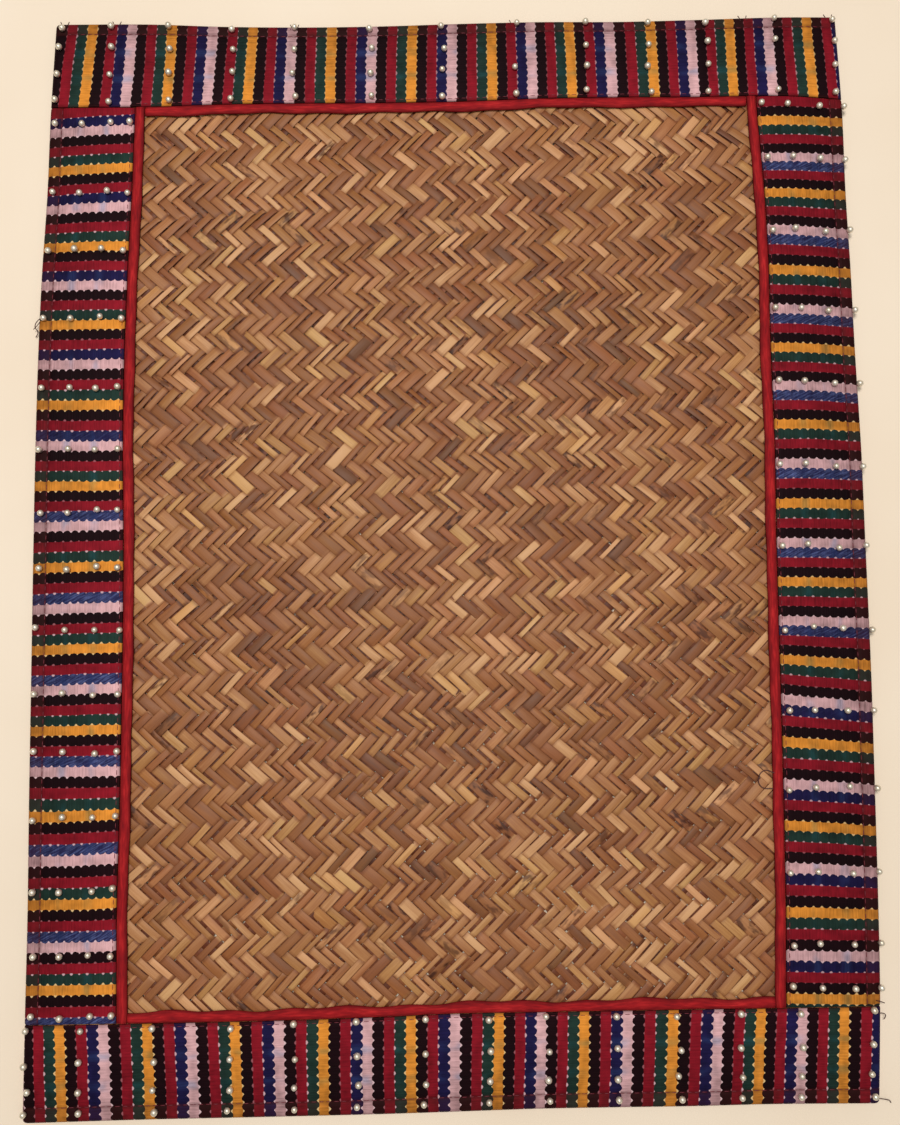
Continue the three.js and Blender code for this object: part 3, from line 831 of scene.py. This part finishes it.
def trimStrip(side):
    upright = side in ("left", "right")
    inset = mat["restGap"]
    if upright:
        low, high = seamY[0] + inset, seamY[1] - inset
    else:
        low = seamX[0] + inset + trims["shorter"]
        high = seamX[1] - inset - trims["shorter"]
    radius = trims["edgeRadius"]
    half = trims["width"] / 2 - radius
    turn = math.pi * radius
    rows = [
        [-half - turn - trims["under"]],
        -half - turn * np.linspace(1, 0, 6),
        np.linspace(-half, half, 8)[1:-1],
        half + turn * np.linspace(0, 1, 6),
        [half + turn + trims["under"]],
    ]
    rows = np.concatenate(rows)
    columns = np.linspace(low, high, round((high - low) / trims["step"]))
    mesh, column, row = makeGrid("trim" + side.capitalize(), len(columns), len(rows))
    along = columns[column if side in ("right", "bottom") else len(columns) - 1 - column]
    way = rows[row]
    flat = np.clip(way, -half, half)
    angle = np.clip((np.abs(way) - half) / radius, 0, math.pi)
    under = np.maximum(np.abs(way) - half - turn, 0)
    out = np.sign(way) * (radius * np.sin(angle) - under)
    offset = flat + out
    crown = trims["crown"] * (1 - (flat / (half + radius)) ** 2)
    wrinkle = 0.05 * np.sin(along / 1.9 + 3 * np.sin(along / 23)) * np.sin(offset * 1.1 + along / 6)
    wrinkle = wrinkle + 0.07 * np.sin(along / 7.3 + offset)
    height = mat["top"] - 0.1 + (crown + wrinkle) * np.cos(angle / 2) - radius * (1 - np.cos(angle))
    sway = sum(np.sin(2 * math.pi * along / length) for length in trims["waverLengths"])
    across = mat["bands"][side] + trims["gap"] + trims["width"] / 2 + offset
    across = across + trims["waver"][side] * sway * np.clip((offset + half) / (2 * half), 0, 1)
    x, y = onSide(side, along, across)
    x, y = uneven(x, y)
    setUv(mesh, "tape", along, way)
    setPoints(mesh, x, y, height)
    mesh.shade_smooth()
    return mesh, (rows[-1] - rows[0], high - low)


def redCotton():
    # plain woven red cotton tape: matt, with slubs along it, a painted highlight along the middle and painted
    # shade at both folds
    material, add = newMaterial("redCottonTape")
    uv = add("UVMap", {"uv_map": "tape"})
    slubSpace = add("Mapping", {}, {0: uv, "Scale": (1 / 5, 1 / 0.7, 1)})
    slub = add("TexNoise", {}, {"Vector": slubSpace, "Scale": 1.0, "Detail": 3.0})
    blotchSpace = add("Mapping", {}, {0: uv, "Scale": (1 / 13, 1 / 4, 1)})
    blotch = add("TexNoise", {}, {"Vector": blotchSpace, "Scale": 1.0, "Detail": 2.0})
    tone = add("Math", "ADD", [slub, blotch])
    tone = add("Math", "MULTIPLY", [tone, 0.5])
    stops = [(0.34, "#6c0f16"), (0.5, "#8b151a"), (0.66, "#ac2325")]
    colour = add("ValToRGB", {"stops": stops}, [tone])
    # painted highlight along the middle and painted shade towards both folds
    split = add("SeparateXYZ", {}, [uv])
    middle = add("Math", "ABSOLUTE", [(split, "Y")])
    smooth = {"interpolation_type": "SMOOTHSTEP"}
    middle = add("MapRange", smooth, [middle, 0.2, trims["width"] / 2, 1.3, 0.66])
    colour = add("VectorMath", "SCALE", {0: colour, "Scale": middle})
    relief = add("Bump", {}, {"Strength": 0.6, "Distance": 0.12 * mm, "Height": slub})
    surface = {"Base Color": colour, "Roughness": 0.7, "Specular IOR Level": 0.1, "Normal": relief}
    return finished(material, add, surface)


trimMaterial = redCotton()
for side in bands:
    mesh, cut = trimStrip(side)
    name = "trim" + side.capitalize() + "Cloth"
    piece = addPiece(name, mesh, trimMaterial, "trim_" + side)
    addThickness(piece, trims["thickness"])
print("trims folded")


# Pearls, and the threads that hold everything
def placeOnCloth(side, along, across, lift):
    # a point over the cloth, following it round the outer fold
    radius = mat["foldRadius"]
    level = clothTop(side, np.array([along]), np.array([max(across, radius)]))[0]
    height = level + lift
    if across < radius:
        sine = min((radius - across) / (radius + lift), 1)
        height = radius + (radius + lift) * math.sqrt(1 - sine**2)
    x, y = onSide(side, np.array([along]), np.array([across]))
    x, y = uneven(x, y)
    return Vector((x[0], y[0], height))


def ivoryPearl():
    # acrylic pearl beads: ivory, smooth, under a clear nacre coat
    material, add = newMaterial("acrylicPearl")
    place = add("TexCoord")
    tone = add("TexNoise", {}, {"Vector": (place, "Object"), "Scale": 1 / (9 * mm), "Detail": 1.0})
    stops = [(0.3, "#e6d9c2"), (0.7, "#f6eddb")]
    colour = add("ValToRGB", {"stops": stops}, [tone])
    coat = {"Coat Weight": 1.0, "Coat Roughness": 0.12}
    surface = {"Base Color": colour, "Metallic": 0.7, "Roughness": 0.4, **coat}
    return finished(material, add, surface)


def joinCopies(name, shape, places):
    # one mesh of many copies of a small shape, each put in its place by a matrix in millimetres
    small = bpy.data.meshes.new(name)
    shape.to_mesh(small)
    shape.free()
    points = np.array([(*vertex.co, 1.0) for vertex in small.vertices])
    faces = [tuple(face.vertices) for face in small.polygons]
    bpy.data.meshes.remove(small)
    moved = [(points @ np.array(place).T)[:, :3] * mm for place in places]
    starts = range(0, len(points) * len(places), len(points))
    allFaces = [[start + corner for corner in face] for start in starts for face in faces]
    mesh = bpy.data.meshes.new(name)
    mesh.from_pydata(np.concatenate(moved), [], allFaces)
    mesh.shade_smooth()
    return mesh


chance = random.Random(5)
places = []
for side in bands:
    for along, across in pearlPlaces(side):
        radius = pearls["diameter"] / 2 * chance.uniform(0.92, 1.06)
        centre = placeOnCloth(side, along, across, radius * pearls["seat"])
        places.append(Matrix.Translation(centre) @ Matrix.Scale(radius, 4))
pearlShape = bmesh.new()
bmesh.ops.create_icosphere(pearlShape, subdivisions=2, radius=1.0)
pearlMesh = joinCopies("pearls", pearlShape, places)
addPiece("pearls", pearlMesh, ivoryPearl())
print("pearls sewn on:", len(pearlMesh.polygons))


def cottonThread(name, colour):
    # mercerised sewing cotton: a slight silky shine on a two-ply twist
    material, add = newMaterial(name)
    place = add("TexCoord")
    tone = add("TexNoise", {}, {"Vector": (place, "Object"), "Scale": 1 / (3 * mm), "Detail": 2.0})
    darker = tuple(0.55 * c for c in linear(colour)[:3]) + (1.0,)
    mixed = add("MixRGB", {}, [tone, linear(colour), darker])
    return finished(material, add, {"Base Color": mixed, "Roughness": 0.5})


stitches = {"length": 2.1, "thickness": 0.32, "hemLift": 0.1, "seamLift": 0.04}


def stitchLine(side, across, low, high, lift, underside=False):
    # each stitch is a plump little bar that lies in its dip
    places = []
    count = round((high - low) / clothShape["stitchPitch"])
    pitch = (high - low) / count
    for k in range(count):
        middle = low + (k + 0.5) * pitch
        ends = [placeOnCloth(side, middle + d * stitches["length"] / 2, across, lift) for d in (-1, 1)]
        if underside:
            for end in ends:
                end.z = lift
        run = ends[1] - ends[0]
        turn = run.to_track_quat("Z", "Y").to_matrix().to_4x4()
        size = Matrix.Diagonal((stitches["thickness"] / 2, stitches["thickness"] / 2, run.length / 2, 1))
        places.append(Matrix.Translation((ends[0] + ends[1]) / 2) @ turn @ size)
    return places


redThread = cottonThread("crimsonCottonThread", "#78142a")
hemPlaces = []
seamPlaces = []
for side in bands:
    low, high = bands[side]["span"]
    stitchAt = mat["hemStitchAt"][side]
    inset = stitchAt if side in ("top", "bottom") else 0.5
    hemPlaces += stitchLine(side, stitchAt, low + inset, high - inset, stitches["hemLift"])
    hemPlaces += stitchLine(side, stitchAt, low + inset, high - inset, stitches["thickness"] / 2, True)
    seamLow, seamHigh = (low + 0.5, high - 0.5) if side in ("left", "right") else (seamX[0], seamX[1])
    seamAt = mat["bands"][side] - mat["seamStitchAt"]
    seamPlaces += stitchLine(side, seamAt, seamLow, seamHigh, stitches["seamLift"])
for name, places in (("hemStitches", hemPlaces), ("seamStitches", seamPlaces)):
    bar = bmesh.new()
    bmesh.ops.create_uvsphere(bar, u_segments=6, v_segments=5, radius=1.0)
    addPiece(name, joinCopies(name, bar, places), redThread)
print("stitched")

# the few thread ends that show, and a loop on the cane
looseThreads = [
    ((-163.0, 93.4, 4.1), (-166.4, 91.4, 3.3), (-167.6, 89.3, 2.4), (-166.8, 87.4, 1.4), (-167.9, 85.6, 0.7)),
    ((-165.0, 91.0, 3.8), (-167.2, 89.0, 2.9), (-168.4, 88.6, 1.8)),
    ((160.6, -214.6, 4.1), (163.4, -215.1, 3.9), (165.6, -216.4, 2.2), (166.6, -217.8, 0.6)),
    ((161.7, -183.2, 4.1), (164.3, -183.7, 3.4), (165.3, -185.0, 2.4), (164.8, -186.3, 2.0)),
    ((161.2, -178.6, 4.1), (163.6, -179.3, 3.6), (165.2, -180.2, 2.3)),
    ((125.4, -92.1, 4.2), (122.1, -91.2, 3.3), (119.7, -93.5, 3.2), (120.3, -97.4, 3.2), (124.8, -98.2, 3.9)),
]
# the cut ends of the pearls' thread stand up beside some of those on the upper edge
for along in (-158.5, -136.9, -62.9, 28.6, 124.6, 160.6):
    for apart in (-1.3, 1.4):
        foot = along + apart
        edge = float(halfLength + curveThrough(unevenness["top"], "edge", np.array([foot]))[0])
        tip = (foot + apart * 0.3, edge + 1.3, 2.2)
        looseThreads.append(((foot, edge - 1.8, 3.9), (foot + 0.1, edge, 2.6), tip))


def threadMesh(name, paths, thickness):
    # thin round threads through the given places, with closed ends
    curve = bpy.data.curves.new(name, "CURVE")
    curve.dimensions = "3D"
    curve.bevel_depth = thickness / 2 * mm
    curve.bevel_resolution = 1
    curve.resolution_u = 6
    curve.use_fill_caps = True
    for path in paths:
        spline = curve.splines.new("BEZIER")
        spline.bezier_points.add(len(path) - 1)
        for point, place in zip(spline.bezier_points, path):
            point.co = Vector(place) * mm
            point.handle_left_type = "AUTO"
            point.handle_right_type = "AUTO"
    holder = bpy.data.objects.new(name, curve)
    mesh = bpy.data.meshes.new_from_object(holder)
    bpy.data.objects.remove(holder)
    bpy.data.curves.remove(curve)
    mesh.shade_smooth()
    return mesh


maroonThread = cottonThread("maroonCottonThread", "#4a1019")
addPiece("looseThreads", threadMesh("looseThreads", looseThreads, 0.36), maroonThread)
print("loose threads laid")


# Floor, light and camera
def honedStone():
    # pale honed stone: matt, with the faintest mottle
    material, add = newMaterial("honedStone")
    place = add("TexCoord")
    mottle = add("TexNoise", {}, {"Vector": (place, "Object"), "Scale": 9.0, "Detail": 3.0})
    mottle = add("ValToRGB", {"stops": [(0.35, "#faead5"), (0.65, "#f6e4cd")]}, [mottle])
    return finished(material, add, {"Base Color": mottle, "Roughness": 0.6})


floorShape = bmesh.new()
bmesh.ops.create_grid(floorShape, x_segments=1, y_segments=1, size=3.0)
floorMesh = bpy.data.meshes.new("floor")
floorShape.to_mesh(floorMesh)
floorShape.free()
floorMesh.materials.append(honedStone())
floor = bpy.data.objects.new("floor", floorMesh)
bpy.context.collection.objects.link(floor)

camera = {"lens": 30.72, "at": (-3.65, -39.99, 383.7), "turned": (4.770, -0.440, -0.625)}
cameraData = bpy.data.cameras.new("camera")
cameraData.lens = camera["lens"]
cameraData.sensor_width = 36
cameraData.clip_start = 0.01
cameraObject = bpy.data.objects.new("camera", cameraData)
cameraObject.location = Vector(camera["at"]) * mm
cameraObject.rotation_euler = Euler([math.radians(a) for a in camera["turned"]])
bpy.context.collection.objects.link(cameraObject)
bpy.context.scene.camera = cameraObject

lights = {
    "key": {"at": (-0.14, 0.36, 1.45), "size": 0.4, "watts": 13.4, "colour": "#fffbf5"},
    "overhead": {"at": (0.2, -0.3, 1.5), "size": 1.2, "watts": 3.8, "colour": "#fffdf9"},
}
for name, light in lights.items():
    data = bpy.data.lights.new(name, "AREA")
    data.size = light["size"]
    data.energy = light["watts"]
    data.color = linear(light["colour"])[:3]
    lamp = bpy.data.objects.new(name, data)
    lamp.location = light["at"]
    lamp.rotation_euler = (-Vector(light["at"])).to_track_quat("-Z", "Y").to_euler()
    bpy.context.collection.objects.link(lamp)
world = bpy.data.worlds.new("studio")
world.use_nodes = True
world.node_tree.nodes["Background"].inputs["Color"].default_value = linear("#fffdf8")
world.node_tree.nodes["Background"].inputs["Strength"].default_value = 0.28
bpy.context.scene.world = world
bpy.context.scene.view_settings.view_transform = "Standard"  # shows the dyes as strong as they are
print("stage set")
